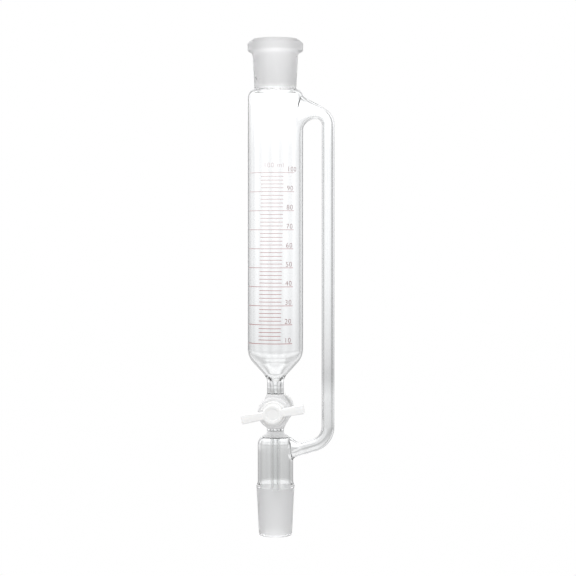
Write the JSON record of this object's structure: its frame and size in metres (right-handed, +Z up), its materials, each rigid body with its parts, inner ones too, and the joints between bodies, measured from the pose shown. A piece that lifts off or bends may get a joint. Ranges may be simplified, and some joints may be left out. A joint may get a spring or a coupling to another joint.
{
  "type": "pressure-equalising dropping funnel",
  "caption": "Graduated glass dropping funnel with a pressure-equalising side arm, ground socket and cone joints, and a stopcock with a T-handle key.",
  "frame": {"origin": "on the long axis, at the gauge plane of the ground cone (its 24 mm large end)", "axes": "+Z up the funnel to the socket, +X towards the side arm, -Y towards the stopcock handle"},
  "size_m": [0.0578, 0.0506, 0.3149],
  "materials": {
    "clear_glass": "clear, smooth",
    "ground_glass": "ground, matt",
    "red_enamel": "fired enamel",
    "white_ptfe": "waxy PTFE",
    "white_handle": "moulded, satin",
    "ring_rubber": "smooth"
  },
  "bodies": {
    "glass": {"top_socket": "ground_glass", "reservoir": "clear_glass", "side_arm_upper_branch": "clear_glass", "side_arm_upper_bend": "clear_glass", "side_arm_riser": "clear_glass", "side_arm_lower_bend": "clear_glass", "side_arm_lower_branch": "clear_glass", "upper_stem": "clear_glass", "stopcock_barrel": "clear_glass", "lower_stem": "clear_glass", "drip_tube": "clear_glass", "vapour_jacket": "clear_glass", "cone_joint": "ground_glass", "scale_major_lines": "red_enamel", "scale_minor_lines": "red_enamel", "scale_numerals": "red_enamel"},
    "key": {"key_plug": "white_ptfe", "key_handle": "white_handle"},
    "washer": {"slip_washer": "white_ptfe", "o_ring": "ring_rubber"},
    "nut": {"tension_nut": "white_handle"}
  },
  "joints": [
    {"name": "key_turn", "type": "hinge", "parent": "glass", "child": "key", "pos_m": [0, 0, 0.0486], "axis": [0, 1, 0], "continuous": true},
    {"name": "washer_travel", "type": "slide", "parent": "key", "child": "washer", "axis": [0, 1, 0], "range_m": [0, 0.002]},
    {"name": "nut_turn", "type": "hinge", "parent": "washer", "child": "nut", "pos_m": [0, 0.022, 0.0486], "axis": [0, 1, 0], "range_deg": [0, 540]}
  ],
  "couplings": [
    {"joint": "washer_travel", "follows": "nut_turn", "m_per_rad": 0.00019894}
  ]
}
